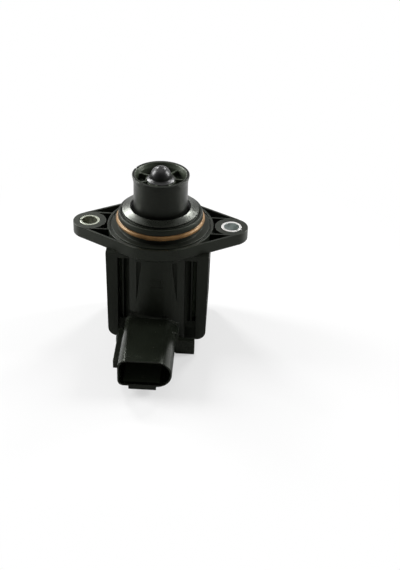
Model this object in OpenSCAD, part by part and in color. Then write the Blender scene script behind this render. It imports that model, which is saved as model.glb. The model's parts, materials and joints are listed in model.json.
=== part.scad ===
// Electric turbo diverter valve: two-bolt flange, sprung piston, solenoid and two-pin connector.
// Origin: centre of the flange's mounting face on the valve axis. +Z points out of the port.
// +X runs along the bolt line, and the connector leaves the body along -Y.

/* [Flange] */
// Distance between the two bolt centres
bolt_spacing = 60; // [56:0.5:66]
// Wall of the flange round each bush
boss_wall = 2.75; // [2.4:0.05:3.6]
// How far the middle of the flange stands out past the body
flange_over = 1.3; // [1.2:0.1:3]
// Thickness of the flange
flange_t = 5.75; // [4.5:0.05:8]
// Wall left along the straight edges of the flange
flange_wall = 0.9; // [0.7:0.05:1.4]
// Distance of the raised rim from the edge of the flange's middle
rim_set = 0.4; // [0.2:0.1:0.8]
// Width of that rim
rim_w = 1; // [0.6:0.1:1.6]
// Width of the relief groove inside the rim
relief_w = 0.8; // [0.4:0.1:1.2]
// Depth of the relief groove
relief_d = 0.8; // [0.4:0.1:2]
// How far the middle of each stiffening rib lies inside the round ends' width
rib_set = 0.25; // [0:0.05:1.2]
// Thickness of the stiffening ribs
rib_t = 0.9; // [0.6:0.05:1.3]
// Material left under the flange pockets
pocket_floor = 1.2; // [0.8:0.1:3]
// Bevel along the lower edge of the flange
flange_bevel = 0.8; // [0.3:0.1:1.5]

/* [Bushes] */
// Radius of the bolt hole through each bush
bolt_hole_r = 3.2; // [2.7:0.05:3.4]
// Wall of the rolled bush
bush_wall = 1.05; // [0.6:0.05:1.5]
// Width of the split in the bush
bush_split = 0.6; // [0.3:0.1:1.2]
// Direction of the left bush's split
left_split_turn = 178; // [90:1:270]
// Direction of the right bush's split
right_split_turn = -47; // [-90:1:90]
// Clearance round each bush
bush_fit = 0.08; // [0.02:0.01:0.15]

/* [Spigot] */
// Wall of the spigot between the bore and the lands above and below the O-ring
spigot_wall = 4.8; // [4.4:0.05:5.2]
// Height of the land above the O-ring
top_land = 2.55; // [2.2:0.05:2.8]
// Thickness of the O-ring
ring_d = 2; // [1.8:0.1:2.2]
// Height of the land below the O-ring
low_land = 1.95; // [1.6:0.05:2.2]
// How far the O-ring stands out of the lands
ring_proud = 0.9; // [0.5:0.05:1.2]
// Play between the O-ring and its gland
ring_fit = 0.05; // [0.02:0.01:0.1]
// Gap between the piston and the bore that it moves in
bore_gap = 1.7; // [1.4:0.05:1.9]
// Depth of the piston's chamber below the flange face
chamber_d = 11.5; // [11:0.1:12.5]
// How far the spigot narrows towards its end
lip_bevel = 0.3; // [0.1:0.05:0.5]
// Height of that narrowing part
lip_bevel_h = 1.1; // [0.6:0.05:1.4]
// Drop of the spigot's outer edge below the retaining ring's seat
land_drop = 0.15; // [0.05:0.05:0.3]
// Width of the narrow groove in the spigot's end
end_groove_w = 0.3; // [0.2:0.05:0.4]
// Depth of that groove
end_groove_d = 0.45; // [0.2:0.05:0.6]

/* [Piston seal] */
// Width of the seal's pocket outside the bore
pocket_w = 0.9; // [0.6:0.05:1.3]
// Depth of the seal's pocket in the spigot
seal_pocket_d = 2.4; // [2.2:0.1:2.6]
// Height of the seal
seal_h = 3.4; // [3:0.1:3.5]
// Running clearance between the lip and the piston
lip_fit = 0.05; // [0.02:0.01:0.09]
// Distance of the retaining ring's edge inside the spigot's lands
retainer_set = 1.7; // [1.5:0.05:1.9]
// Height of the retaining ring above the spigot
retainer_h = 2; // [1.9:0.05:2.4]
// Gap between the piston and the opening in the retaining ring
opening_gap = 1.3; // [0.9:0.05:1.35]
// Undercut below the retaining ring's edge
retainer_undercut = 0.3; // [0.2:0.05:0.5]
// Height of the undercut
undercut_h = 0.35; // [0.25:0.05:0.4]
// Height of the retaining ring's edge
retainer_edge_h = 0.4; // [0.35:0.05:0.5]
// Bevel below that edge, and width of the flat round the opening
retainer_edge_bevel = 0.2; // [0.1:0.05:0.25]
// Width of the shallow outer slope of the retaining ring
slope_w = 2.35; // [1.8:0.05:2.6]
// Rise of that slope
slope_rise = 0.65; // [0.5:0.05:0.7]
// Height of the sealing edge of the lip
lip_h = 0.3; // [0.2:0.05:0.6]
// Depth of the sealing edge below the seal's top
lip_drop = 0.65; // [0.4:0.05:1]
// Thickness of the lip behind its sealing edge
lip_t = 0.9; // [0.6:0.05:1.1]

/* [Piston] */
// Radius of the piston's sliding wall
piston_r = 11.3; // [10.8:0.05:11.5]
// How far the rim flares out past the wall
rim_flare = 0.6; // [0.3:0.02:0.7]
// Height of the flared rim
rim_h = 3.4; // [2.6:0.1:4]
// Bevel on the outer edge of the rim
rim_edge = 0.15; // [0.05:0.05:0.3]
// Chamfer on the inner edge of the rim
rim_chamfer = 0.25; // [0.1:0.05:0.4]
// How much the cup widens from the web to its rim
cup_taper = 0.6; // [0.3:0.05:0.7]
// Chamfer at the foot of the piston's skirt
skirt_chamfer = 0.3; // [0.1:0.05:0.5]
// Thickness of the piston's wall
piston_wall = 1.4; // [0.9:0.05:1.8]
// Direction of the notch in the rim
notch_turn = 156; // [0:1:360]
// Width of the notch
notch_w = 1.2; // [0.6:0.1:2]
// Depth of the notch
notch_d = 0.6; // [0.3:0.1:0.9]
// Height of the rim above the retaining ring when the valve is open
open_gap = 6.8; // [6:0.1:7.4]
// Gap left under the skirt when the valve is open
skirt_gap = 1.6; // [0.6:0.1:2.4]
// Depth of the web below the rim
web_drop = 2.1; // [1.6:0.1:3]
// Height of the spokes
spoke_h = 2.4; // [1.6:0.1:3]
// Thickness of the spokes
spoke_t = 1; // [0.6:0.05:1.4]
// Number of spokes
spoke_n = 7; // [5:1:9]
// Thickness of the hub that the spokes meet
hub_t = 1.2; // [0.8:0.1:1.6]
// Drop of the hub below the spokes' top
hub_drop = 0.4; // [0.2:0.05:0.6]
// Width of the hub outside the cap's shoulder
hub_edge = 0.5; // [0.3:0.05:0.8]
// Gap between the cap's shoulder and the spokes
cap_gap = 0.1; // [0.05:0.01:0.15]
// Radius of the dome on the cap
dome_r = 4.4; // [4:0.05:4.6]
// Radius of the moulding mark on the dome's top
gate_r = 0.45; // [0.3:0.05:0.6]
// Depth of that mark
gate_d = 0.2; // [0.1:0.05:0.3]
// Radius of the cap's shoulder
shoulder_r = 5.9; // [5.6:0.1:6.4]
// Height of the shoulder's edge
shoulder_h = 0.3; // [0.2:0.05:0.6]
// Height of the dome's middle above the hub
dome_rise = 1.5; // [1.4:0.05:2]
// Radius of the fillet at the dome's foot
dome_foot = 0.9; // [0.6:0.05:1]
// Turn of that fillet before it meets the shoulder
foot_turn = 70; // [60:1:75]
// Stroke of the piston from closed to open
stroke = 8; // [5:0.1:8.5]

/* [Rod and armature] */
// Radius of the rod
rod_r = 2; // [1.6:0.05:2.4]
// Step from the rod to its neck, which the hub seats on
neck_step = 0.5; // [0.4:0.05:0.8]
// How far the neck reaches past the middle of the dome
neck_reach = 0.8; // [0.2:0.1:1.4]
// Clearance round the neck
neck_fit = 0.02; // [0.01:0.01:0.05]
// Radius of the hub washer
washer_r = 4.2; // [3.4:0.1:5]
// Thickness of the hub washer
washer_t = 0.5; // [0.3:0.05:0.8]
// Radius of the armature
armature_r = 6.08; // [5.6:0.02:6.4]
// Length of the armature
armature_l = 14; // [10:0.5:15]
// Thickness of the armature's closed end
armature_floor = 1; // [0.6:0.1:3]
// Running clearance of the rod and of the armature
run_fit = 0.06; // [0.03:0.01:0.09]
// Gap left at each end of the armature's travel
end_gap = 0.3; // [0.2:0.05:0.6]

/* [Return spring] */
// Gap between the spring and the piston's wall
spring_gap = 1.15; // [0.4:0.05:1.6]
// Thickness of the spring wire
wire_d = 1.1; // [0.8:0.05:1.3]
// Number of turns
spring_turns = 6.5; // [5:0.5:8]

/* [Solenoid] */
// Wall of the guide sleeve
sleeve_wall = 0.45; // [0.3:0.05:0.7]
// Thickness of the pole plate
plate_t = 3; // [2:0.1:4]
// Room between the winding and the yoke's wall
coil_gap = 2; // [1.2:0.1:2.6]
// Wall of the yoke
yoke_wall = 1.6; // [1:0.1:2]
// Thickness of the yoke's floor
yoke_floor = 2; // [1.4:0.1:2.6]
// Length of the coil space between the pole plate and the yoke's floor
coil_l = 27.8; // [27:0.1:28.2]
// Gap between the bobbin's flanges and the yoke
bobbin_gap = 0.4; // [0.2:0.1:0.8]
// Room round the terminals in the yoke's window
window_gap = 1; // [0.6:0.1:2]
// Wall of the bobbin's tube
bobbin_wall = 0.95; // [0.7:0.05:1.3]
// Thickness of the bobbin's flanges
bobbin_flange = 1.3; // [1:0.1:1.8]
// Radius of the winding
winding_r = 14.6; // [12:0.1:15.6]
// Play between the parts of the solenoid
coil_fit = 0.1; // [0.05:0.01:0.15]
// Height of the rubber stop
damper_h = 0.9; // [0.5:0.1:1.4]
// Radius of the rubber stop
damper_r = 3.5; // [2.5:0.1:5]

/* [Rod guide] */
// Thickness of the guide's disc
guide_t = 2.5; // [2.3:0.1:3.5]
// Wall of the guide's hub round the rod's bush
guide_wall = 1.56; // [1:0.02:2.4]
// Height of the guide's hub above its disc
guide_hub_h = 4.5; // [3:0.1:6]
// Wall of the rod's bush
bearing_wall = 1.35; // [0.8:0.05:1.8]
// Thickness of the guide's seal
inner_ring_d = 1.5; // [1.2:0.05:1.6]

/* [Body] */
// Depth of the coil bay below the yoke
base_gap = 3; // [2.4:0.1:4]
// Least thickness of the body's sides beside the coil bay
side_wall = 3.1; // [2.4:0.1:4]
// How much each side leans in towards the underside
body_draft = 0.5; // [0.1:0.05:1]
// How far the columns' front faces lie behind the panel
column_set = 3.7; // [2.8:0.1:4.6]
// Width of each column at the top
column_w = 5; // [4.4:0.1:5.8]
// Radius of the body's lower corners
corner_r = 4; // [2:0.1:4.4]
// Wall of the round barrel between the columns
barrel_wall = 1.2; // [1:0.05:1.6]
// How far the raised panel stands out of the barrel
panel_rise = 1.1; // [0.7:0.05:1.6]
// Half width of the raised panel
panel_x = 11.7; // [10.6:0.1:12.6]
// Drop of the shoulder under the flange
shoulder_drop = 1.9; // [1:0.1:3]
// Distance of the thin rib's middle from the panel
fin_gap = 2.8; // [1.6:0.1:3.4]
// Thickness of that rib
fin_t = 0.8; // [0.5:0.05:1.1]
// Distance of the ledge's front from the column's face
ledge_set = 0.8; // [0.3:0.1:1.2]
// Distance of the groove's floor from the column's face
groove_floor_d = 2; // [1:0.1:3]
// Height of the ledge that ends each groove, below the connector's top
ledge_drop = 4.6; // [3:0.1:6]
// Height of the ledge's slope
ledge_slope = 2; // [1:0.1:3]
// Half width of each tapering slot in the panel at its top
slot_w = 1.15; // [0.6:0.05:1.5]
// Middle of the slot at its top
slot_x = 7.35; // [6.5:0.05:8.5]
// Length of the slot
slot_l = 19.4; // [12:0.2:22]
// Width of the bare field in the panel
field_w = 4.5; // [3:0.1:6]
// Height of the bare field
field_h = 3.7; // [2:0.1:5]
// Depth of the bare field's middle below the flange face
field_drop = 17.25; // [14:0.05:20]
// Depth of the bare field in the panel
field_d = 0.25; // [0.1:0.05:0.5]
// Gap between the yoke and the coil bay
yoke_fit = 0.2; // [0.1:0.05:0.5]
// Depth of the recess in each side
side_recess = 0.8; // [0.3:0.1:1.4]
// Distance of the recess's ends from the columns' faces
side_inset = 5.1; // [3:0.1:8]
// Height of the recess's lower edge above the body's corners
side_foot = 2; // [1:0.5:4]
// Corner radius of that recess
side_corner = 2; // [1:0.1:4]
// Distance of that recess from the shoulder under the flange
side_margin = 3; // [1:0.5:6]

/* [Base] */
// Height of the base under the body
foot_h = 3.9; // [3:0.1:5]
// Distance of the plate's ends from the flat of the underside
cover_set = 0.6; // [0:0.1:3]
// Depth of the plate, front to back
cover_y = 28; // [24:0.5:30]
// Corner radius of the plate
cover_corner = 3; // [1:0.1:5]
// Gap between the cover's plug and the yoke
plug_gap = 0.2; // [0.1:0.05:0.5]
// Play between the plug of the cover and the coil bay
cover_fit = 0.1; // [0.05:0.01:0.2]

/* [Connector] */
// Reach of the connector in front of the panel
plug_reach = 30.6; // [27:0.1:35]
// Distance of the connector's left side from the middle
plug_left = 13.3; // [12.8:0.1:13.8]
// Distance of the connector's right side from the middle
plug_right = 8.95; // [8:0.05:9.2]
// Height of the connector
plug_h = 12.8; // [12:0.1:13.4]
// Radius of the upper left corner
plug_left_r = 3.7; // [2.4:0.1:4]
// Radius of the lower left corner
plug_low_r = 2.5; // [2:0.1:4]
// Wall of the connector
plug_wall = 1.2; // [1.05:0.05:1.5]
// Wall left at the mouth, where the socket opens out
lip_wall = 0.75; // [0.5:0.05:0.95]
// Depth over which the socket opens out
lead_d = 1.6; // [0.8:0.1:3]
// Depth of the socket
socket_d = 22; // [19:0.5:24]
// Radius of the fillet between the panel and the connector
root_r = 1.2; // [0.6:0.1:3]
// Distance of the gusset's left end from the middle
gusset_in = 5.3; // [4.5:0.1:6]
// Height of the gusset's slope
gusset_drop = 2.4; // [1:0.1:3.5]
// Distance of the gusset's front from the panel
gusset_l = 6.3; // [4:0.1:8]
// Height of the collar at the root above the connector's underside
collar_h = 3; // [1.5:0.1:4]
// Distance of the collar's ends from the body's sides
collar_set = 3.9; // [3:0.1:6]
// Distance of the collar's front from the panel
collar_l = 1.3; // [0.8:0.1:2]
// Distance of the block's front from the collar's front
block_l = 0.65; // [0.3:0.05:1.2]
// Width of the latch foot under the mouth
latch_w = 11.3; // [8:0.1:12]
// Height of the latch foot under the connector
latch_h = 2.2; // [1.2:0.1:3]
// Length of the latch foot
latch_l = 6; // [4:0.1:9]
// Distance of the latch foot's middle left of the connector's middle
latch_offset = 1; // [0:0.1:1.5]
// Bevel on the latch foot's front edge
latch_bevel = 0.8; // [0.3:0.1:1.5]
// Width of the guide rail beside the connector
rail_w = 2.7; // [1.8:0.1:3.2]
// Height of the guide rail
rail_h = 3.9; // [2.5:0.1:4.6]
// Drop of the rail's top below the connector's middle
rail_drop = 0.1; // [0:0.1:1]
// Distance of the rail's end behind the mouth
rail_back = 8.3; // [5:0.1:12]

/* [Terminals] */
// Distance between the two blades
pin_pitch = 5.5; // [4.6:0.1:6.5]
// Width of a blade
pin_w = 2.8; // [2.2:0.1:3.2]
// Thickness of a blade
pin_t = 0.8; // [0.5:0.05:0.9]
// How far the blades stay back from the mouth
pin_back = 8; // [6.5:0.5:10]
// Clearance round a blade in the wall
pin_fit = 0.1; // [0.05:0.01:0.15]

/* [Hidden] */

// Faces per turn on round forms
$fn = 72;
// Overlap of joined forms, and the excess of a cut past a face
lap = 0.5;
// Inset that makes the flange's straight edges cross its round ends cleanly
tuck = 0.03;
// Depth that a fillet sinks into the face it ends on, and that one piece is let into the next
sink = 0.1;

// Solenoid and coil bay, from the winding outwards
yoke_r = winding_r + coil_gap + yoke_wall;
bay_r = yoke_r + yoke_fit;
barrel_r = bay_r + barrel_wall;
panel_r = barrel_r + panel_rise;
body_x = bay_r + side_wall;
body_low_x = body_x - body_draft;
column_in = body_x - column_w;
column_y = panel_r - column_set;
fin_x = panel_x + fin_gap;

// Flange
bolt_x = bolt_spacing / 2;
bush_r = bolt_hole_r + bush_wall;
boss_r = bush_r + boss_wall;
hub_r = body_x + flange_over;
rim_r = hub_r - rim_set;
rib_y = boss_r - rib_set;
edge_turn = acos((hub_r - boss_r) / bolt_x);
rim_in = rim_r - rim_w;
relief_in = rim_in - relief_w;

// Spigot, from the flange face upwards
bore_r = piston_r + bore_gap;
spigot_r = bore_r + spigot_wall;
ring_z = low_land + ring_fit + ring_d / 2;
ring_r = spigot_r + ring_proud - ring_d / 2;
gland_r = ring_r - ring_d / 2 - ring_fit;
gland_low = ring_z - ring_d / 2 - ring_fit;
gland_high = ring_z + ring_d / 2 + ring_fit;
spigot_h = gland_high + top_land;
seal_pocket_r = bore_r + pocket_w;
retainer_r = spigot_r - retainer_set;
retainer_bore_r = piston_r + opening_gap;
end_groove_in = retainer_r + ring_fit;
land_z = spigot_h - land_drop;

// Seal stack
seal_low = spigot_h - seal_pocket_d;
seal_high = seal_low + seal_h;
retainer_top = spigot_h + retainer_h;
lip_r = piston_r + lip_fit;
seal_r = seal_pocket_r - ring_fit;

// Piston and rod
chamber_floor = -chamber_d;
guide_top = chamber_floor + guide_t;
piston_in = piston_r - piston_wall;
piston_low = guide_top + stroke + skirt_gap;
piston_top = retainer_top + stroke + open_gap;
spoke_top = piston_top - web_drop;
spoke_low = spoke_top - spoke_h;
hub_top = spoke_top - hub_drop;
hub_low = hub_top - hub_t;
rod_shoulder = hub_low - washer_t;
dome_z = hub_top + dome_rise;
neck_top = dome_z + neck_reach;
spoke_in = shoulder_r + cap_gap;
neck_r = rod_r - neck_step;
spring_r = piston_in - wire_d / 2 - spring_gap;

// Solenoid, from the pole plate downwards
armature_top = chamber_floor - end_gap;
armature_low = armature_top - armature_l;
rod_low = armature_low + armature_floor;
damper_top = armature_low - stroke - end_gap;
core_top = damper_top - damper_h;
plate_low = chamber_floor - plate_t;
floor_top = plate_low - coil_l;
yoke_low = floor_top - yoke_floor;
sleeve_in = armature_r + run_fit;
sleeve_r = sleeve_in + sleeve_wall;
core_r = armature_r;
bobbin_in = sleeve_r + coil_fit;
bobbin_r = bobbin_in + bobbin_wall;
bobbin_top = plate_low - coil_fit;
bobbin_low = floor_top + coil_fit;
bobbin_rim = yoke_r - yoke_wall - bobbin_gap;
bearing_in = rod_r + run_fit;
bearing_r = bearing_in + bearing_wall;
guide_bore_r = bearing_r + run_fit / 2;
guide_hub_r = guide_bore_r + guide_wall;
bearing_low = chamber_floor + coil_fit;
inner_ring_r = bore_r - ring_fit - inner_ring_d / 2;
inner_ring_z = chamber_floor + guide_t / 2;
guide_r = bore_r - coil_fit;
guide_gland_r = inner_ring_r - inner_ring_d / 2 - ring_fit;

// Body
body_low = yoke_low - base_gap;
stand_z = body_low - foot_h;
cover_x = body_low_x - corner_r - cover_set;

// Connector
mouth_y = panel_r + plug_reach;
plug_low = body_low;
plug_top = plug_low + plug_h;
plug_mid_x = (plug_right - plug_left) / 2;
plug_mid_z = plug_top - plug_h / 2;
socket_floor = -mouth_y + socket_d;
collar_x = body_low_x - collar_set;
collar_front = panel_r + collar_l;
collar_back = panel_r - lap;
collar_top = plug_low + collar_h;
block_front = collar_front + block_l;
block_in = plug_right - lap;
block_out = collar_x - lap;
gusset_out = plug_right + lap;
ledge_z = plug_top - ledge_drop;
rail_end = mouth_y - rail_back;
rail_top = plug_mid_z - rail_drop;

function pin_x(side) = plug_mid_x + side * pin_pitch / 2;

// Points of an arc about c, from turn a to turn b
function arc(c, r, a, b, steps = 8) =
    [for (i = [0 : steps]) c + r * [cos(a + (b - a) * i / steps), sin(a + (b - a) * i / steps)]];

// Rectangle from low to high with round corners
function round_box(low, high, r) = concat(
    arc([high.x - r, high.y - r], r, 0, 90),
    arc([low.x + r, high.y - r], r, 90, 180),
    arc([low.x + r, low.y + r], r, 180, 270),
    arc([high.x - r, low.y + r], r, 270, 360));

// Outline of the connector in the XZ plane: a full round on the right, two corners on the left
function plug_outline(inset) = let (
        left = -plug_left + inset,
        top = plug_top - inset,
        low = plug_low + inset,
        r = (top - low) / 2,
        upper = plug_left_r - inset,
        lower = plug_low_r - inset)
    concat(
        arc([plug_right - inset - r, (top + low) / 2], r, -90, 90, 18),
        arc([left + upper, top - upper], upper, 90, 180),
        arc([left + lower, low + lower], lower, 180, 270));

// Extrudes an XZ outline along Y, from the distance near to the distance far towards the front
module along_y(near, far) {
    translate([0, -near, 0])
        rotate([90, 0, 0])
            linear_extrude(far - near) children();
}

// Extrudes a YZ outline along X
module along_x(from_x, to_x) {
    translate([from_x, 0, 0])
        rotate([90, 0, 90])
            linear_extrude(to_x - from_x) children();
}

module ring(outer, inner, low, high) {
    difference() {
        translate([0, 0, low]) cylinder(r = outer, h = high - low);
        translate([0, 0, low - lap]) cylinder(r = inner, h = high - low + 2 * lap);
    }
}

module box(low, high) {
    translate(low) cube(high - low);
}

// Corners of the area between the flange's round ends, shrunk by inset
function tie_points(inset) = let (
        x = cos(edge_turn),
        y = sin(edge_turn),
        b = boss_r - inset,
        h = hub_r - inset) [
    [bolt_x + b * x, b * y], [h * x, h * y], [-h * x, h * y], [-bolt_x - b * x, b * y],
    [-bolt_x - b * x, -b * y], [-h * x, -h * y], [h * x, -h * y], [bolt_x + b * x, -b * y]];

module flange_outline() {
    circle(r = hub_r);
    for (side = [-1, 1]) translate([side * bolt_x, 0]) circle(r = boss_r);
    polygon(tie_points(tuck));
}

// Bevelled lower layer of the flange
module flange_foot() {
    low = -flange_t;
    high = low + flange_bevel;
    translate([0, 0, low]) cylinder(r1 = hub_r - flange_bevel, r2 = hub_r, h = flange_bevel);
    for (side = [-1, 1])
        translate([side * bolt_x, 0, low])
            cylinder(r1 = boss_r - flange_bevel, r2 = boss_r, h = flange_bevel);
    lower = [for (p = tie_points(tuck + flange_bevel)) [p.x, p.y, low]];
    upper = [for (p = tie_points(tuck)) [p.x, p.y, high]];
    polyhedron(
        points = concat(lower, upper),
        faces = concat(
            [[for (i = [0 : 7]) i], [for (i = [7 : -1 : 0]) 8 + i]],
            [for (i = [0 : 7]) [i, 8 + i, 8 + (i + 1) % 8, (i + 1) % 8]]));
}

// Pockets between the rim and one boss, split by the two ribs
module flange_pockets(side) {
    edge = tie_points(flange_wall);
    translate([0, 0, -flange_t + pocket_floor])
        linear_extrude(flange_t)
            difference() {
                polygon(side > 0
                    ? [edge[0], edge[1], edge[6], edge[7]]
                    : [edge[3], edge[2], edge[5], edge[4]]);
                circle(r = rim_r);
                translate([side * bolt_x, 0]) circle(r = boss_r);
                for (row = [-1, 1])
                    translate([side * bolt_x / 2, row * rib_y]) square([bolt_x, rib_t], center = true);
            }
}

module flange() {
    difference() {
        union() {
            translate([0, 0, -flange_t + flange_bevel])
                linear_extrude(flange_t - flange_bevel) flange_outline();
            flange_foot();
        }
        flange_pockets(1);
        flange_pockets(-1);
        ring(rim_in, relief_in, -relief_d, lap);
    }
}

// Lands, gland and stepped end of the spigot
module spigot() {
    rotate_extrude()
        polygon([
            [bore_r - lap, -flange_t],
            [spigot_r, -flange_t],
            [spigot_r, gland_low],
            [gland_r, gland_low],
            [gland_r, gland_high],
            [spigot_r, gland_high],
            [spigot_r, land_z - lip_bevel_h],
            [spigot_r - lip_bevel, land_z],
            [end_groove_in + end_groove_w, land_z],
            [end_groove_in + end_groove_w, land_z - end_groove_d],
            [end_groove_in, land_z - end_groove_d],
            [end_groove_in, spigot_h],
            [bore_r - lap, spigot_h]]);
}

// One side of the body in the XZ plane, leaning in and rounded at its lower corner
module column_side() {
    along_y(-column_y, column_y)
        polygon(concat(
            [[column_in, -flange_t + lap], [body_x, -flange_t + lap]],
            arc([body_low_x - corner_r, body_low + corner_r], corner_r, 0, -90),
            [[column_in, body_low]]));
}

// Ledge that ends the groove above the base, and the thin rib above it
module groove_parts() {
    floor_y = -column_y + groove_floor_d;
    front_y = -column_y + ledge_set;
    back_y = -column_y / 2;
    along_x(panel_x - lap, column_in + lap)
        polygon([
            [back_y, body_low], [front_y, body_low], [front_y, ledge_z - ledge_slope],
            [floor_y, ledge_z], [back_y, ledge_z + lap]]);
    box([fin_x - fin_t / 2, floor_y, ledge_z - lap], [fin_x + fin_t / 2, back_y, -flange_t]);
}

module body() {
    translate([0, 0, body_low]) cylinder(r = barrel_r, h = -body_low - flange_t + lap);
    intersection() {
        translate([0, 0, body_low]) cylinder(r = panel_r, h = -body_low - flange_t + lap);
        box([-panel_x, -body_x, body_low - lap], [panel_x, body_x, 0]);
    }
    box([-column_in - lap, -column_y, -flange_t - shoulder_drop],
        [column_in + lap, column_y, -flange_t + lap]);
    for (side = [0, 1]) mirror([side, 0, 0]) {
        column_side();
        groove_parts();
        mirror([0, 1, 0]) groove_parts();
    }
}

// Narrow recesses that taper down the panel, the bare field between them and the side recesses
module body_recesses() {
    slot_top = -flange_t - shoulder_drop;
    slot_out = slot_x + slot_w;
    recess_y = column_y - side_inset;
    for (side = [0, 1]) mirror([side, 0, 0]) {
        along_y(bay_r - lap, panel_r + lap)
            polygon([[slot_x - slot_w, slot_top], [slot_out, slot_top], [slot_out, slot_top - slot_l]]);
        along_x(body_low_x - side_recess, body_x + lap)
            polygon(round_box(
                [-recess_y, body_low + corner_r + side_foot],
                [recess_y, slot_top - side_margin],
                side_corner));
    }
    along_y(panel_r - field_d, panel_r + lap)
        translate([0, -field_drop]) square([field_w, field_h], center = true);
}

// Round fillet where the top of the connector meets the panel
module root_fillet() {
    low = plug_top - sink;
    intersection() {
        rotate_extrude()
            polygon(concat(
                arc([panel_r + root_r, low + root_r], root_r, 180, 270),
                [[panel_r - lap, low], [panel_r - lap, low + root_r]]));
        box([-plug_left + plug_left_r, -panel_r - root_r - lap, low - lap],
            [plug_right - plug_h / 2, 0, low + root_r + lap]);
    }
}

// Lead-in of the socket: the outline shrinks with the depth, and starts in front of the mouth
module lead_in() {
    slope = (plug_wall - lip_wall) / lead_d;
    outer = plug_outline(lip_wall - slope * lap);
    inner = plug_outline(plug_wall + slope * lap);
    n = len(outer);
    polyhedron(
        points = concat(
            [for (p = outer) [p.x, -mouth_y - lap, p.y]],
            [for (p = inner) [p.x, -mouth_y + lead_d + lap, p.y]]),
        faces = concat(
            [[for (i = [0 : n - 1]) i], [for (i = [n - 1 : -1 : 0]) n + i]],
            [for (i = [0 : n - 1]) [i, n + i, n + (i + 1) % n, (i + 1) % n]]));
}

// Solid connector shell, its gusset, rail, latch foot and root collar
module connector() {
    along_y(bay_r, mouth_y) polygon(plug_outline(0));
    root_fillet();
    gusset_top = plug_top - lap;
    along_y(bay_r, panel_r + gusset_l)
        polygon([
            [gusset_in - 2 * lap, gusset_top], [gusset_in, gusset_top - lap],
            [gusset_out, gusset_top - lap - gusset_drop],
            [gusset_out, collar_top - lap], [gusset_in - 2 * lap, collar_top - lap]]);
    box([-plug_left - rail_w, -rail_end, rail_top - rail_h],
        [-plug_left + plug_wall, -collar_back, rail_top]);
    latch_mid = plug_mid_x - latch_offset;
    latch_top = plug_low + plug_wall / 2;
    latch_low = plug_low - latch_h;
    along_x(latch_mid - latch_w / 2, latch_mid + latch_w / 2)
        polygon([
            [-mouth_y, latch_top], [-mouth_y, latch_low + latch_bevel], [-mouth_y + latch_bevel, latch_low],
            [-mouth_y + latch_l - latch_bevel, latch_low], [-mouth_y + latch_l, latch_top]]);
    box([-collar_x, -collar_front, stand_z], [block_out, -collar_back, collar_top]);
    box([block_in, -block_front, stand_z], [block_out, -collar_back, collar_top]);
    box([-panel_x + lap, -collar_back - lap, stand_z], [panel_x - lap, -bay_r - lap, collar_top]);
}

module housing() {
    color("#2b2d2f")
        difference() {
            union() {
                flange();
                spigot();
                body();
                connector();
            }
            for (side = [-1, 1])
                translate([side * bolt_x, 0, -flange_t - lap])
                    cylinder(r = bush_r + bush_fit, h = flange_t + 2 * lap);
            translate([0, 0, chamber_floor - lap])
                cylinder(r = bore_r, h = spigot_h - chamber_floor + 2 * lap);
            translate([0, 0, seal_low]) cylinder(r = seal_pocket_r, h = seal_pocket_d + lap);
            translate([0, 0, body_low - lap]) cylinder(r = bay_r, h = chamber_floor - body_low + lap);
            along_y(-socket_floor, mouth_y + lap) polygon(plug_outline(plug_wall));
            lead_in();
            for (side = [-1, 1])
                terminal_bar(side, pin_fit, socket_floor - lap, -bay_r / 2);
            body_recesses();
        }
}

module base_cover() {
    plug_r = bay_r - cover_fit;
    color("#232527") {
        translate([0, 0, body_low - sink]) cylinder(r = plug_r, h = yoke_low - plug_gap - body_low + sink);
        translate([0, 0, stand_z])
            linear_extrude(body_low - stand_z)
                polygon(round_box([-cover_x, -cover_y / 2], [cover_x, cover_y / 2], cover_corner));
    }
}

module yoke_frame() {
    window = pin_pitch / 2 + pin_w / 2 + window_gap;
    color("#9a9c9e")
        difference() {
            translate([0, 0, yoke_low]) cylinder(r = yoke_r, h = plate_low - yoke_low);
            translate([0, 0, floor_top]) cylinder(r = yoke_r - yoke_wall, h = coil_l + lap);
            translate([0, 0, yoke_low - lap]) cylinder(r = core_r + run_fit, h = yoke_floor + 2 * lap);
            box([plug_mid_x - window, -yoke_r - lap, floor_top],
                [plug_mid_x + window, -yoke_r / 2, plug_mid_z + pin_t / 2 + window_gap]);
        }
}

module pole_plate() {
    color("#a2a4a6") ring(yoke_r, sleeve_r + coil_fit, plate_low, chamber_floor);
}

module pole_core() {
    color("#a8aaac") translate([0, 0, yoke_low]) cylinder(r = core_r, h = core_top - yoke_low);
}

module guide_sleeve() {
    color("#c9b07a") ring(sleeve_r, sleeve_in, floor_top, chamber_floor - coil_fit);
}

module coil_bobbin() {
    color("#d8d2c0") {
        ring(bobbin_r, bobbin_in, bobbin_low, bobbin_top);
        ring(bobbin_rim, bobbin_in, bobbin_top - bobbin_flange, bobbin_top);
        ring(bobbin_rim, bobbin_in, bobbin_low, bobbin_low + bobbin_flange);
    }
}

module coil_winding() {
    color("#b8642c")
        ring(winding_r, bobbin_r + coil_fit / 2, bobbin_low + bobbin_flange + coil_fit,
            bobbin_top - bobbin_flange - coil_fit);
}

// Bar along a blade's path, grown by the clearance play
module terminal_bar(side, play, front, back) {
    half = [pin_w / 2 + play, 0, pin_t / 2 + play];
    mid = [pin_x(side), 0, plug_mid_z];
    box(mid - half + [0, front, 0], mid + half + [0, back, 0]);
}

module terminal(side) {
    color("#c8c4b4") terminal_bar(side, 0, -mouth_y + pin_back, -bobbin_rim - bobbin_gap / 2);
}

module terminal_left() {
    terminal(-1);
}

module terminal_right() {
    terminal(1);
}

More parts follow.
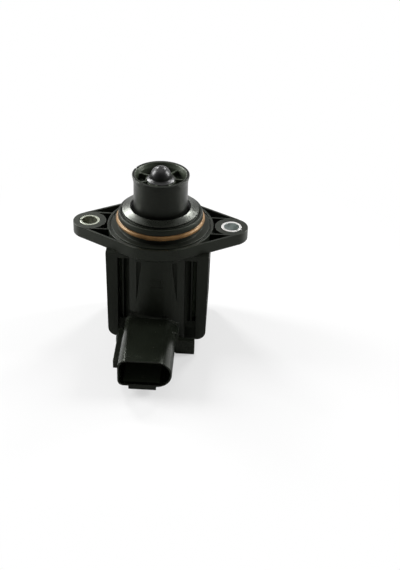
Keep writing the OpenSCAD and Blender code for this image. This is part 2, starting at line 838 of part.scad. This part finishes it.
module bearing_flange() {
    color("#3a3c3e")
        difference() {
            union() {
                translate([0, 0, chamber_floor]) cylinder(r = guide_r, h = guide_t);
                translate([0, 0, chamber_floor]) cylinder(r = guide_hub_r, h = guide_t + guide_hub_h);
            }
            translate([0, 0, chamber_floor - lap])
                cylinder(r = guide_bore_r, h = guide_t + guide_hub_h + 2 * lap);
            ring(guide_r + lap, guide_gland_r, inner_ring_z - inner_ring_d / 2 - ring_fit,
                inner_ring_z + inner_ring_d / 2 + ring_fit);
        }
}

module rod_bearing() {
    color("#b08d57") ring(bearing_r, bearing_in, bearing_low, guide_top + guide_hub_h);
}

module inner_seal() {
    color("#1c1c1c")
        translate([0, 0, inner_ring_z])
            rotate_extrude() translate([inner_ring_r, 0]) circle(d = inner_ring_d, $fn = 32);
}

module stop_damper() {
    color("#202020") translate([0, 0, core_top]) cylinder(r = damper_r, h = damper_h);
}

module piston_seal() {
    seal_in = bore_r - lap;
    edge_high = seal_high - lip_drop;
    color("#1b1b1b")
        rotate_extrude()
            polygon([
                [seal_in, seal_low], [seal_r, seal_low], [seal_r, seal_high],
                [lip_r + lip_t, seal_high], [lip_r, edge_high], [lip_r, edge_high - lip_h],
                [lip_r + lip_t, edge_high - lip_h - lip_t / 2], [seal_in, seal_low + lip_t]]);
}

module seal_retainer() {
    pocket_top = seal_high + ring_fit;
    edge_low = spigot_h + undercut_h + retainer_edge_bevel;
    edge_high = edge_low + retainer_edge_h;
    color("#17181a")
        rotate_extrude()
            polygon([
                [seal_pocket_r, spigot_h], [retainer_r - retainer_undercut, spigot_h],
                [retainer_r - retainer_undercut, spigot_h + undercut_h], [retainer_r, edge_low],
                [retainer_r, edge_high], [retainer_r - slope_w, edge_high + slope_rise],
                [retainer_bore_r + retainer_edge_bevel, retainer_top], [retainer_bore_r, retainer_top],
                [retainer_bore_r, pocket_top], [seal_pocket_r, pocket_top]]);
}

module port_o_ring() {
    color("#9c5a34")
        translate([0, 0, ring_z])
            rotate_extrude() translate([ring_r, 0]) circle(d = ring_d, $fn = 40);
}

module bush(side, turn) {
    color("#c4c6c8")
        translate([side * bolt_x, 0, 0])
            difference() {
                ring(bush_r, bolt_hole_r, -flange_t, 0);
                rotate([0, 0, turn])
                    box([0, -bush_split / 2, -flange_t - lap], [bush_r + lap, bush_split / 2, lap]);
            }
}

module bush_left() {
    bush(-1, left_split_turn);
}

module bush_right() {
    bush(1, right_split_turn);
}

// Compression spring with close end turns, swept as rings of points along the helix
module return_spring() {
    steps = 20;
    sides = 8;
    rings = ceil(spring_turns * steps);
    low = guide_top + wire_d / 2;
    high = spoke_low - wire_d / 2;
    function rise(t) = let (close = wire_d * 1.05) t < 1 ? close * t
        : t > spring_turns - 1 ? high - low - close * (spring_turns - t)
        : close + (high - low - 2 * close) * (t - 1) / (spring_turns - 2);
    color("#b4b7ba")
        polyhedron(
            points = [for (i = [0 : rings], j = [0 : sides - 1]) let (
                    t = spring_turns * i / rings,
                    r = spring_r + wire_d / 2 * cos(360 * j / sides))
                [r * cos(360 * t), r * sin(360 * t), low + rise(t) + wire_d / 2 * sin(360 * j / sides)]],
            faces = concat(
                [[for (j = [0 : sides - 1]) j], [for (j = [sides - 1 : -1 : 0]) rings * sides + j]],
                [for (i = [0 : rings - 1], j = [0 : sides - 1]) let (k = (j + 1) % sides)
                    [i * sides + j, (i + 1) * sides + j, (i + 1) * sides + k, i * sides + k]]));
}

module piston() {
    flare_r = piston_r + rim_flare;
    color("#303234") {
        difference() {
            rotate_extrude()
                polygon([
                    [piston_in, piston_low], [piston_r - skirt_chamfer, piston_low],
                    [piston_r, piston_low + skirt_chamfer], [piston_r, piston_top - rim_h],
                    [flare_r, piston_top - 2 * rim_edge], [flare_r, piston_top - rim_edge],
                    [flare_r - rim_edge, piston_top], [piston_in + cup_taper + rim_chamfer, piston_top],
                    [piston_in + cup_taper, piston_top - rim_chamfer], [piston_in, spoke_top + rim_chamfer]]);
            rotate([0, 0, notch_turn])
                box([piston_r - lap, -notch_w / 2, piston_top - notch_d],
                    [flare_r + lap, notch_w / 2, piston_top + lap]);
        }
        ring(shoulder_r + hub_edge, neck_r + neck_fit, hub_low, hub_top);
        for (i = [0 : spoke_n - 1])
            rotate([0, 0, 360 * i / spoke_n])
                box([spoke_in, -spoke_t / 2, spoke_low], [piston_in + lap, spoke_t / 2, spoke_top]);
    }
}

// Dome that runs out in a fillet on its shoulder, bored for the rod's neck
module rod_cap() {
    waist_r = dome_r - tuck;
    color("#3c3e41")
        difference() {
            union() {
                translate([0, 0, dome_z]) sphere(r = dome_r);
                rotate_extrude()
                    polygon(concat(
                        [[0, hub_top], [shoulder_r, hub_top], [shoulder_r, hub_top + shoulder_h]],
                        arc([waist_r + dome_foot, dome_z], dome_foot, 180 + foot_turn, 180),
                        [[0, dome_z]]));
            }
            translate([0, 0, hub_top - dome_r]) cylinder(r = dome_r, h = dome_r);
            translate([0, 0, dome_z + dome_r - gate_d]) cylinder(r = gate_r, h = gate_d + lap);
            translate([0, 0, hub_top - lap])
                cylinder(r = neck_r + neck_fit, h = neck_top + sink - hub_top + lap);
        }
}

module hub_washer() {
    color("#b9bbbd") ring(washer_r, neck_r + neck_fit, rod_shoulder, hub_low);
}

module valve_rod() {
    color("#bcbec0") {
        translate([0, 0, rod_low]) cylinder(r = rod_r, h = rod_shoulder - rod_low);
        translate([0, 0, rod_shoulder - lap]) cylinder(r = neck_r, h = neck_top - rod_shoulder + lap);
    }
}

module armature() {
    color("#8f9193")
        difference() {
            translate([0, 0, armature_low]) cylinder(r = armature_r, h = armature_l);
            translate([0, 0, rod_low]) cylinder(r = rod_r, h = armature_l);
        }
}

housing();
base_cover();
yoke_frame();
pole_plate();
pole_core();
guide_sleeve();
coil_bobbin();
coil_winding();
terminal_left();
terminal_right();
bearing_flange();
rod_bearing();
inner_seal();
stop_damper();
piston_seal();
seal_retainer();
port_o_ring();
bush_left();
bush_right();
return_spring();
piston();
rod_cap();
hub_washer();
valve_rod();
armature();
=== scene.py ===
import json
import math

import bmesh
import bpy
from mathutils import Matrix, Vector
from mathutils.bvhtree import BVHTree
from mathutils.geometry import intersect_point_line


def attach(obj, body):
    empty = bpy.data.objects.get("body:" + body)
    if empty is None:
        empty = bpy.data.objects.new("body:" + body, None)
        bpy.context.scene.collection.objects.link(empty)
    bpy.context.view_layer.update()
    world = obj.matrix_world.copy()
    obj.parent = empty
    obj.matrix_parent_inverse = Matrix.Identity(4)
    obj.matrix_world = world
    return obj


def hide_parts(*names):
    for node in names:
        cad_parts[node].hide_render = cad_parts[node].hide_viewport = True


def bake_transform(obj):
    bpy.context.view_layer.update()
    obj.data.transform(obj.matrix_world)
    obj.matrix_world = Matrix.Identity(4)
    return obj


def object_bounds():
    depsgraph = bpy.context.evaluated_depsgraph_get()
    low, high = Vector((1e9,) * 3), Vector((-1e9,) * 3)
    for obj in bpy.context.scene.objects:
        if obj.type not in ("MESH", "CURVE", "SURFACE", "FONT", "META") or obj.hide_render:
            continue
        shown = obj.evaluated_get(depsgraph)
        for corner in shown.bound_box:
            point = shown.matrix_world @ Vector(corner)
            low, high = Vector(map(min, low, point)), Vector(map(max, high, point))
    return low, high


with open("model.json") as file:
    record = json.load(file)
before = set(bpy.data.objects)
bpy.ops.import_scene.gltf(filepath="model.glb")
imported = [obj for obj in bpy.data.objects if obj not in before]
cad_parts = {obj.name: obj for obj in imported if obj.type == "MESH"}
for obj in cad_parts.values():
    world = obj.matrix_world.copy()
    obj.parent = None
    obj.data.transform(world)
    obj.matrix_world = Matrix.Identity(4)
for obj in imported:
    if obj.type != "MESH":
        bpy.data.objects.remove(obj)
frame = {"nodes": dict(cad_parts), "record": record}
cadLow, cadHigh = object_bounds()
nodes = frame["nodes"]
mm = 0.001
print("frame loaded:", len(nodes), "nodes")


class Wire:  # a node's output that can stand in a sum
    def __init__(self, finish, socket):
        self.finish, self.socket = finish, socket

    def __add__(self, other):
        return self.finish.maths("ADD", self, other)

    def __sub__(self, other):
        return self.finish.maths("SUBTRACT", self, other)

    def __rsub__(self, other):
        return self.finish.maths("SUBTRACT", other, self)

    def __mul__(self, other):
        return self.finish.maths("MULTIPLY", self, other)

    def __truediv__(self, other):
        return self.finish.maths("DIVIDE", self, other)

    def __pow__(self, other):
        return self.finish.maths("POWER", self, other)

    def __gt__(self, other):
        return self.finish.maths("GREATER_THAN", self, other)

    __radd__, __rmul__ = __add__, __mul__


class Finish:  # the node tree of one material or world, and the patterns that feed it
    def __init__(self, owner, outlet="OutputMaterial", coordinates="Object"):
        self.owner = owner
        owner.use_nodes = True
        self.tree = owner.node_tree
        self.tree.nodes.clear()
        self.outlet = self.tree.nodes.new("ShaderNode" + outlet)
        self.place = self.add("TexCoord", outlet=coordinates)
        self.parts = self.add("SeparateXYZ", values={"Vector": self.place}).socket.node.outputs

    def add(self, kind, settings=None, values=None, outlet=0):
        node = self.tree.nodes.new("ShaderNode" + kind)
        for key, value in (settings or {}).items():
            if key == "stops":
                for i, (position, colour) in enumerate(value):
                    stop = node.color_ramp.elements
                    stop = stop[i] if i < 2 else stop.new(position)
                    stop.position, stop.color = position, colour
            else:
                setattr(node, key, value)
        for key, value in (values or {}).items():
            self.feed(node.inputs[key], value)
        return Wire(self, node.outputs[outlet])

    def feed(self, socket, value):
        if isinstance(value, Wire):
            self.tree.links.new(value.socket, socket)
        else:
            socket.default_value = value

    def maths(self, operation, first, second=0.0, clamp=False):
        return self.add("Math", {"operation": operation, "use_clamp": clamp}, {0: first, 1: second})

    def axis(self, index):
        return Wire(self, self.parts[index])

    def noise(self, scale, detail=3.0, stretch=None, rough=0.5):
        where = self.place
        if stretch:
            where = self.add("Mapping", values={"Vector": self.place, "Scale": stretch})
        return self.add("TexNoise", values={
            "Vector": where, "Scale": scale, "Detail": detail, "Roughness": rough})

    def steps(self, value, low, high):  # 0 below low, 1 above high, smooth between
        return self.add("MapRange", {"interpolation_type": "SMOOTHSTEP"}, {
            "Value": value, "From Min": low, "From Max": high})

    def mix(self, mask, first, second):
        return self.add("Mix", {"data_type": "RGBA"}, {0: mask, 6: first, 7: second}, outlet=2)

    def radius(self, centre=(0.0, 0.0)):  # distance from an upright axis
        x, y = self.axis(0) - centre[0], self.axis(1) - centre[1]
        return (x * x + y * y) ** 0.5

    def turn(self, centre=(0.0, 0.0)):  # angle round an upright axis
        return self.maths("ARCTAN2", self.axis(1) - centre[1], self.axis(0) - centre[0])

    def inside(self, space):  # 1 within a box given in millimetres
        mask = 1.0
        for index, (low, high) in enumerate(space):
            off = self.maths("ABSOLUTE", self.axis(index) - (low + high) / 2 * mm)
            mask = (1.0 - self.steps(off, (high - low) / 2 * mm, ((high - low) / 2 + 0.1) * mm)) * mask
        return mask

    def bump(self, height, distance, strength=1.0, normal=None):
        values = {"Height": height, "Distance": distance, "Strength": strength}
        if normal:
            values["Normal"] = normal
        return self.add("Bump", values=values)

    def surface(self, shader):
        self.feed(self.outlet.inputs["Surface"], shader)
        return self.owner

    def finish(self, values):
        return self.surface(self.add("BsdfPrincipled", values=values))


def paint(name):  # an empty material, ready for its nodes
    return Finish(bpy.data.materials.new(name))


def grey(level, warm=0.0):
    return (level * (1 + warm), level, level * (1 - warm), 1.0)


def black(level):  # the faintly green black of the mouldings
    return (level * 0.95, level * 1.15, level * 0.8, 1.0)


mouldTint = (0.94, 1.0, 0.86, 1.0)
socketDustAndLightSpace = ((-11.1, 3.8), (-50.6, -29.0), (-46.1, -35.8))  # the plug's room, where dust lies and where a lighter colour is painted in as light in the dark socket
groovesPaintedLight = ((-17.0, 17.0), (-17.0, 17.0), (-46.0, -8.0))  # the body's wall between its columns and ribs, where the outer grooves' floors get painted light
plugRootPaintedShade = ((-12.0, 4.3), (-28.6, -17.0), (-34.9, -33.3))  # the plug's top where it leaves the body, painted darker there as shade


def mouldedPlastic(name, base, rough, spec=0.35, shade=black, housing=False):
    f = paint(name)
    cloud = f.noise(70.0, 4.0)
    grains = f.noise(2400.0, 2.0)
    rub = f.steps(f.noise(420.0, 5.0, rough=0.65), 0.58, 0.74)
    flow = f.noise(260.0, 3.0, stretch=(1.0, 1.0, 0.12))
    colour = f.mix(f.steps(cloud, 0.3, 0.7), shade(base * 0.8), shade(base * 1.25))
    colour = f.mix(rub * 0.35, colour, shade(base * 2.2))
    roughness = rough + (cloud - 0.5) * 0.16 + (flow - 0.5) * 0.08 + rub * 0.1
    if housing:
        plug = 1.0 - f.steps(f.axis(1), -21.4 * mm, -20.6 * mm)
        rootPaintedShade = f.inside(plugRootPaintedShade) * f.steps(f.axis(1), -28.5 * mm, -23.0 * mm)
        corner = rootPaintedShade * (1.0 - f.steps(f.radius(), 21.3 * mm, 21.4 * mm))
        aside = f.steps(f.maths("ABSOLUTE", f.axis(0)), 14.8 * mm, 15.0 * mm)
        grooveFloorPaintedLight = f.inside(groovesPaintedLight) * (1.0 - f.steps(f.radius(), 19.75 * mm, 19.9 * mm)) * aside
        # dust and painted light: the socket's inside is much lighter than the body
        colour = f.mix(f.inside(socketDustAndLightSpace), colour, shade(0.09))
        # painted shade: the plug's top is darker where it leaves the body
        colour = f.mix(rootPaintedShade * 0.6, colour, shade(base * 0.3))
        # painted light: the outer grooves' deep floors are many times lighter than the body
        colour = f.mix(grooveFloorPaintedLight, colour, shade(base * 9.0))
        roughness = roughness - plug * 0.2 + corner * 0.6
    return f.finish({
        "Base Color": colour,
        "Roughness": roughness,
        "Specular IOR Level": spec,
        "Specular Tint": mouldTint,
        "Normal": f.bump(grains + flow * 0.6, 0.012 * mm)})


def turnedPlastic(name, base, rough, pitch, inside, spec=0.4):  # inside: radius where the cup starts, and the lighter base painted in the cup as light
    f = paint(name)
    rings = f.noise(1.0, 2.0, stretch=(12.0, 12.0, 1 / (pitch * mm)))
    bands = f.noise(1.0, 1.0, stretch=(6.0, 6.0, 0.25 / (pitch * mm)))
    cloud = f.noise(90.0, 3.0)
    cupPaintedLight = 1.0 - f.steps(f.radius(), (inside[0] - 0.1) * mm, inside[0] * mm)
    colour = f.mix(f.steps(rings + bands, 0.8, 1.3), black(base * 0.7), black(base * 1.5))
    # painted light: the cup's inside is many times lighter than the piston's outside
    colour = f.mix(cupPaintedLight, colour, black(inside[1]))
    return f.finish({
        "Base Color": colour,
        "Roughness": rough + (rings - 0.5) * 0.2 + (bands - 0.5) * 0.12 + (cloud - 0.5) * 0.06,
        "Specular IOR Level": spec,
        "Specular Tint": mouldTint,
        "Normal": f.bump(rings + bands * 2.0, 0.012 * mm)})


def polishedPlastic(name, base, rough, spec=0.5, wave=0.03, shade=black, gloss=mouldTint):
    f = paint(name)
    wavy = f.noise(140.0, 2.0)
    fine = f.noise(1900.0, 3.0)
    dust = f.steps(f.noise(1300.0, 3.0, rough=0.7), 0.66, 0.76)
    colour = f.mix(dust * 0.5, f.mix(wavy, shade(base * 0.85), shade(base * 1.2)), shade(base * 3.0))
    return f.finish({
        "Base Color": colour,
        "Roughness": rough + (fine - 0.5) * 0.06 + (wavy - 0.5) * 0.05 + dust * 0.12,
        "Specular IOR Level": spec,
        "Specular Tint": gloss,
        "Normal": f.bump(wavy + fine * 0.03, wave * mm)})


def rubber(name, base, light, rough=0.5, spec=0.4, gloss=grey(1.0)):
    f = paint(name)
    cloud = f.noise(110.0, 4.0)
    grains = f.noise(2100.0, 3.0, rough=0.6)
    specks = f.steps(f.noise(1500.0, 2.0), 0.7, 0.78)
    colour = f.mix(f.steps(cloud, 0.3, 0.72), base, light)
    return f.finish({
        "Base Color": f.mix(specks * 0.4, colour, grey(0.30)),
        "Roughness": rough + (cloud - 0.5) * 0.18 + (grains - 0.5) * 0.1,
        "Specular IOR Level": spec,
        "Specular Tint": gloss,
        "Normal": f.bump(grains, 0.02 * mm)})


def machinedMetal(name, base, rough, grain=(1.0, 1.0, 40.0), scale=500.0):
    f = paint(name)
    lines = f.noise(scale, 3.0, stretch=grain)
    cloud = f.noise(160.0, 4.0)
    colour = f.mix(f.steps(cloud, 0.3, 0.7), tuple(c * 0.82 for c in base[:3]) + (1.0,), base)
    return f.finish({
        "Base Color": colour,
        "Metallic": 1.0,
        "Roughness": rough + (lines - 0.5) * 0.18 + (cloud - 0.5) * 0.12,
        "Normal": f.bump(lines, 0.01 * mm)})


def tinted(level, tint):
    return tuple(level * part for part in tint) + (1.0,)


def rolledSteel(name, centre, light, boreShadeLevel, tint, boreTint):  # strip rolled into a bush, coined round its bore, which is painted darker as shade
    f = paint(name)
    away = f.radius(centre)
    around = f.turn(centre)
    swirl = f.add("TexNoise", {"noise_dimensions": "2D"}, {
        "Vector": f.add("CombineXYZ", values={0: around * 6.0, 1: away * 4200.0}),
        "Scale": 1.0, "Detail": 3.0})
    spots = f.steps(f.noise(900.0, 4.0, rough=0.7), 0.5, 0.68)
    cloud = f.noise(420.0, 3.0)
    worn = f.steps(away, 3.55 * mm, 3.9 * mm) * (1.0 - f.steps(away, 4.05 * mm, 4.2 * mm))
    colour = f.mix(spots * 0.6, tinted(light, tint), tinted(light * 0.6, tint))
    colour = f.mix(worn * 0.5, colour, tinted(0.68, tint))
    # painted shade: the bore is darker than the bush's face
    colour = f.mix(f.steps(away, 3.22 * mm, 3.34 * mm), tinted(boreShadeLevel, boreTint), colour)
    return f.finish({
        "Base Color": colour,
        "Metallic": 0.85,
        "Roughness": 0.42 + (cloud - 0.5) * 0.2 + (swirl - 0.5) * 0.16 + spots * 0.12,
        "Normal": f.bump(swirl + spots * 0.5, 0.012 * mm)})


def woundWire(name, pitch):
    f = paint(name)
    wire = f.maths("SINE", f.axis(2) * (2 * math.pi / (pitch * mm)))
    cloud = f.noise(300.0, 3.0)
    return f.finish({
        "Base Color": f.mix(cloud, (0.33, 0.10, 0.035, 1.0), (0.62, 0.24, 0.09, 1.0)),
        "Metallic": 0.7,
        "Roughness": 0.3 + (cloud - 0.5) * 0.15,
        "Normal": f.bump(wire, 0.08 * mm)})


finishes = {
    "body_plastic": mouldedPlastic("bodyPlastic", 0.0095, 0.42, spec=0.36, housing=True),
    "cover_plastic": mouldedPlastic("coverPlastic", 0.0095, 0.48, spec=0.36),
    "guide_plastic": mouldedPlastic("guidePlastic", 0.02, 0.45),
    "bobbin_plastic": mouldedPlastic("bobbinPlastic", 0.5, 0.45, shade=grey),
    "piston_plastic": turnedPlastic("pistonPlastic", 0.003, 0.34, 0.5, (10.9, 0.045), spec=0.45),
    "cap_plastic": polishedPlastic("capPlastic", 0.014, 0.34, spec=0.52, wave=0.002, shade=grey, gloss=grey(1.0)),
    "retainer_plastic": polishedPlastic("retainerPlastic", 0.005, 0.28, spec=0.6, wave=0.001),
    "seal_rubber": rubber("sealRubber", grey(0.010), grey(0.018)),
    "ring_rubber": rubber("ringRubber", (0.10, 0.05, 0.015, 1.0), (0.25, 0.13, 0.045, 1.0), 0.36, 0.9,
                          gloss=(1.0, 0.72, 0.42, 1.0)),
    "damper_rubber": rubber("damperRubber", grey(0.012), grey(0.02)),
    "bush_steel": rolledSteel("bushSteel", (-0.03, 0.0), 0.4, 0.24, (0.98, 1.04, 0.86), (1.0, 1.04, 0.8)),
    "core_steel": machinedMetal("coreSteel", grey(0.52), 0.34),
    "rod_steel": machinedMetal("rodSteel", grey(0.62), 0.22),
    "spring_steel": machinedMetal("springSteel", grey(0.5), 0.3, (1.0, 1.0, 1.0), 1500.0),
    "terminal_tin": machinedMetal("terminalTin", grey(0.6, 0.02), 0.3, (40.0, 1.0, 40.0)),
    "sleeve_brass": machinedMetal("sleeveBrass", (0.7, 0.5, 0.24, 1.0), 0.3),
    "bearing_bronze": machinedMetal("bearingBronze", (0.5, 0.33, 0.17, 1.0), 0.42, (1.0, 1.0, 1.0), 900.0),
    "winding_copper": woundWire("windingCopper", 0.4),
}
# painted light: the right bush is a lighter copy of the bush steel, standing in for light its side lacks
rightBushPaintedLight = rolledSteel("rightBushPaintedLight", (0.03, 0.0), 0.88, 0.58, (1.02, 1.01, 0.98), (0.95, 1.03, 1.0))
print("finishes made:", len(finishes) + 1)


def dress(piece, material):
    piece.data.materials.clear()
    piece.data.materials.append(material)


slotOf = {s["node"]: s["material_slot"] for s in frame["record"]["subparts"]}
for name, piece in nodes.items():
    dress(piece, finishes[slotOf[name]])
dress(nodes["bush_right"], rightBushPaintedLight)


bodyOf = {n: body for body, names in frame["record"]["behaviour"]["bodies"].items() for n in names}


def edgeGap(edge, point):  # from a point to an edge
    start, end = (v.co for v in edge.verts)
    place, share = intersect_point_line(point, start, end)
    return (start.lerp(end, min(max(share, 0.0), 1.0)) - point).length


def reached(start, edges):  # the faces that are joined to one through a set of edges
    found, waiting = {start}, [start]
    while waiting:
        for edge in edges(waiting.pop()):
            for face in edge.link_faces:
                if face not in found:
                    found.add(face)
                    waiting.append(face)
    return found


def evenNormals(bm):  # a corner's normal leans to the widest planes that meet there, so flat faces look flat
    angles = {e: e.calc_face_angle(math.pi) for e in bm.edges}
    level = {e for e, angle in angles.items() if angle < math.radians(0.5)}
    smooth = {e for e, angle in angles.items() if angle < math.radians(50)}
    width = {}
    for face in bm.faces:
        if face not in width:
            plane = reached(face, lambda f: [e for e in f.edges if e in level])
            width.update(dict.fromkeys(plane, sum(f.calc_area() for f in plane)))
    normals = []
    for face in bm.faces:
        for corner in face.loops:
            around = smooth.intersection(corner.vert.link_edges)
            fan = reached(face, lambda f: around.intersection(f.edges))
            normals.append(sum((f.normal * width[f] for f in fan), Vector()).normalized())
    return normals


def rounded(name, shape, spoilt):  # a solid's mesh with its sharp edges rounded, but for those near a spoilt place
    bm = bmesh.new()
    bm.from_mesh(nodes[name].data)
    bmesh.ops.remove_doubles(bm, verts=bm.verts, dist=0.002 * mm)
    solid = BVHTree.FromBMesh(bm)
    bmesh.ops.dissolve_limit(bm, angle_limit=math.radians(0.4), verts=bm.verts, edges=bm.edges)
    bmesh.ops.connect_verts_concave(bm, faces=bm.faces)
    corner = math.radians(shape["corner"])
    sharp = [e for e in bm.edges if len(e.link_faces) == 2 and e.calc_face_angle(0) > corner
             and all(edgeGap(e, p) > shape["clear"] * mm for p in spoilt)]
    bmesh.ops.bevel(bm, geom=sharp, offset=shape["edge"] * mm, affect="EDGES", segments=shape["steps"],
                    profile=0.5, material=-1, clamp_overlap=False)
    bm.normal_update()
    mesh = bpy.data.meshes.new(name + "Soft")
    bm.to_mesh(mesh)
    normals = evenNormals(bm)
    bm.free()
    mesh.calc_loop_triangles()
    middles = [sum((mesh.vertices[i].co for i in t.vertices), Vector()) / 3 for t in mesh.loop_triangles]
    return mesh, normals, [p for p in middles if solid.find_nearest(p)[3] > 0.6 * shape["edge"] * mm]


def softened(name, shape):
    shape = dict(shape, clear=1.0)
    spoilt = []
    for attempt in range(4):
        mesh, normals, strays = rounded(name, shape, spoilt)
        if not strays:
            break
        spoilt += strays
    for face in mesh.polygons:
        face.use_smooth = True
    mesh.normals_split_custom_set(normals)
    piece = bpy.data.objects.new(name + "Soft", mesh)
    bpy.context.scene.collection.objects.link(piece)
    dress(piece, nodes[name].data.materials[0])
    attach(piece, bodyOf[name])
    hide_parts(name)
    print("softened", name, len(mesh.polygons), "faces,", len(spoilt), "edges' places left sharp")
    return piece


# edge is a radius in millimetres, and corner the least angle in degrees that gets one
housingShape = {"edge": 0.18, "steps": 2, "corner": 24}
baseCoverShape = {"edge": 0.3, "steps": 3, "corner": 24}
pistonShape = {"edge": 0.1, "steps": 2, "corner": 20}
rodCapShape = {"edge": 0.12, "steps": 2, "corner": 20}
retainerShape = {"edge": 0.09, "steps": 2, "corner": 14}
bushShape = {"edge": 0.12, "steps": 2, "corner": 30}
bladeShape = {"edge": 0.12, "steps": 2, "corner": 30}
softened("housing", housingShape)
softened("base_cover", baseCoverShape)
softened("piston", pistonShape)
softened("rod_cap", rodCapShape)
softened("seal_retainer", retainerShape)
for name in ("bush_left", "bush_right"):
    softened(name, bushShape)
for name in ("terminal_left", "terminal_right"):
    softened(name, bladeShape)


def bentSpring():  # a smooth-shaded copy of the return spring, whose turns between the two end ones close up as the piston goes down; this copy keeps them as modelled
    bm = bmesh.new()
    bm.from_mesh(nodes["return_spring"].data)
    bmesh.ops.remove_doubles(bm, verts=bm.verts, dist=0.002 * mm)
    mesh = bpy.data.meshes.new("springTurns")
    bm.to_mesh(mesh)
    bm.free()
    for face in mesh.polygons:
        face.use_smooth = True
    mesh.set_sharp_from_angle(angle=math.radians(50))
    piece = bpy.data.objects.new("springTurns", mesh)
    bpy.context.scene.collection.objects.link(piece)
    dress(piece, finishes["spring_steel"])
    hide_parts("return_spring")
    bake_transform(piece)
    print("spring made", len(mesh.polygons))


bentSpring()


stageSettings = {
    "floorLevel": cadLow.z - 0.0001, "reach": 1.6,
    "floorColour": grey(0.8), "clear": (0.02, 0.15),  # metres from the part where the floor turns plain white
    "lift": 0.5,  # how much of that white the shadowed floor gets
    "behind": (-0.03, 0.06),  # metres along Y where a reflection starts to see it
    "front": (-0.05, 0.02), "frontColour": grey(0.3),  # the dark card that reflections see in front
    "worldLevel": 0.09, "backdropTop": (0.2, 0.45),  # sines of the angles where the backdrop fades out
    "backdropSide": (-0.2, 0.3),  # and of those where it ends at the sides
    "ceiling": (0.8, 0.93), "ceilingLevel": 0.8,  # sines of the angles where reflections meet the soft ceiling
}


def makeFloor(s):
    bm = bmesh.new()
    bmesh.ops.create_grid(bm, x_segments=2, y_segments=2, size=s["reach"])
    bmesh.ops.translate(bm, verts=bm.verts, vec=(0, 0, s["floorLevel"]))
    mesh = bpy.data.meshes.new("studioFloor")
    bm.to_mesh(mesh)
    bm.free()
    floor = bpy.data.objects.new("studioFloor", mesh)
    bpy.context.scene.collection.objects.link(floor)
    f = paint("floorPaper")
    far = f.steps(f.radius(), *s["clear"])
    eye = f.add("LightPath", outlet="Is Camera Ray")
    gloss = f.add("LightPath", outlet="Is Glossy Ray")
    through = f.add("LightPath", outlet="Is Transmission Ray")
    behind = f.steps(f.axis(1), *s["behind"])
    seen = f.maths("MAXIMUM", eye, f.maths("MAXIMUM", gloss * behind, through))
    front = 1.0 - f.steps(f.axis(1), *s["front"])
    paper = f.add("BsdfDiffuse", values={"Color": f.mix(gloss * front, s["floorColour"], s["frontColour"])})
    glow = f.add("Emission", values={"Color": grey(1.0), "Strength": 1.0})
    lift = eye * (1.0 - far) * s["lift"]
    f.surface(f.add("MixShader", values={0: far * seen + lift, 1: paper, 2: glow}))
    dress(floor, f.owner)


def makeWorld(s):  # dim overhead, and white where the eye or a reflection meets the backdrop
    world = bpy.data.worlds.new("studio")
    bpy.context.scene.world = world
    f = Finish(world, "OutputWorld", "Generated")
    eye = f.add("LightPath", outlet="Is Camera Ray")
    gloss = f.add("LightPath", outlet="Is Glossy Ray")
    through = f.add("LightPath", outlet="Is Transmission Ray")
    low = 1.0 - f.steps(f.axis(2), *s["backdropTop"])
    back = f.steps(f.axis(1), *s["backdropSide"])
    seen = f.maths("MAXIMUM", eye, f.maths("MAXIMUM", gloss * low * back, through * low))
    over = f.steps(f.axis(2), *s["ceiling"]) * gloss
    soft = f.add("Background", values={"Color": grey(1.0), "Strength": over * s["ceilingLevel"] + s["worldLevel"]})
    white = f.add("Background", values={"Color": grey(1.0), "Strength": 1.0})
    f.surface(f.add("MixShader", values={0: seen, 1: soft, 2: white}))


lamps = {  # place in metres, size in metres, power in watts
    "leftBox": {"place": (-0.62, 0.12, 0.30), "size": (0.30, 0.45), "power": 6.2},
    "rightBox": {"place": (0.64, 0.16, 0.30), "size": (0.30, 0.45), "power": 5.0},
    "topLeft": {"place": (-0.33, 0.50, 0.44), "size": (0.15, 0.11), "power": 2.4},
    "topRight": {"place": (0.29, 0.50, 0.46), "size": (0.13, 0.11), "power": 2.0},
}


def makeLamps():
    for name, s in lamps.items():
        data = bpy.data.lights.new(name, "AREA")
        data.shape, data.size, data.size_y = "RECTANGLE", *s["size"]
        data.energy = s["power"]
        lamp = bpy.data.objects.new(name, data)
        bpy.context.scene.collection.objects.link(lamp)
        lamp.location = s["place"]
        lamp.rotation_euler = (Vector((0, 0, -0.01)) - lamp.location).to_track_quat("-Z", "Y").to_euler()


cameraView = {
    "azimuth": 1.884, "elevation": 33.353, "roll": 1.760,  # degrees
    "place": (0.03089, -0.40738, 0.23805), "lens": 70.56, "sensor": 36.0,
}


def makeCamera(s):
    azimuth, elevation, roll = (math.radians(s[k]) for k in ("azimuth", "elevation", "roll"))
    back = Vector((math.sin(azimuth) * math.cos(elevation), -math.cos(azimuth) * math.cos(elevation),
                   math.sin(elevation)))
    level = Vector((math.cos(azimuth), math.sin(azimuth), 0))
    right = math.cos(roll) * level + math.sin(roll) * back.cross(level)
    data = bpy.data.cameras.new("photoCamera")
    data.lens, data.sensor_width = s["lens"], s["sensor"]
    data.clip_start, data.clip_end = 0.01, 10
    camera = bpy.data.objects.new("photoCamera", data)
    bpy.context.scene.collection.objects.link(camera)
    turn = Matrix((right, back.cross(right), back)).transposed().to_4x4()
    camera.matrix_world = Matrix.Translation(s["place"]) @ turn
    bpy.context.scene.camera = camera


makeFloor(stageSettings)
makeWorld(stageSettings)
makeLamps()
makeCamera(cameraView)
bpy.context.scene.view_settings.view_transform = "Standard"
print("stage, lamps and camera made")
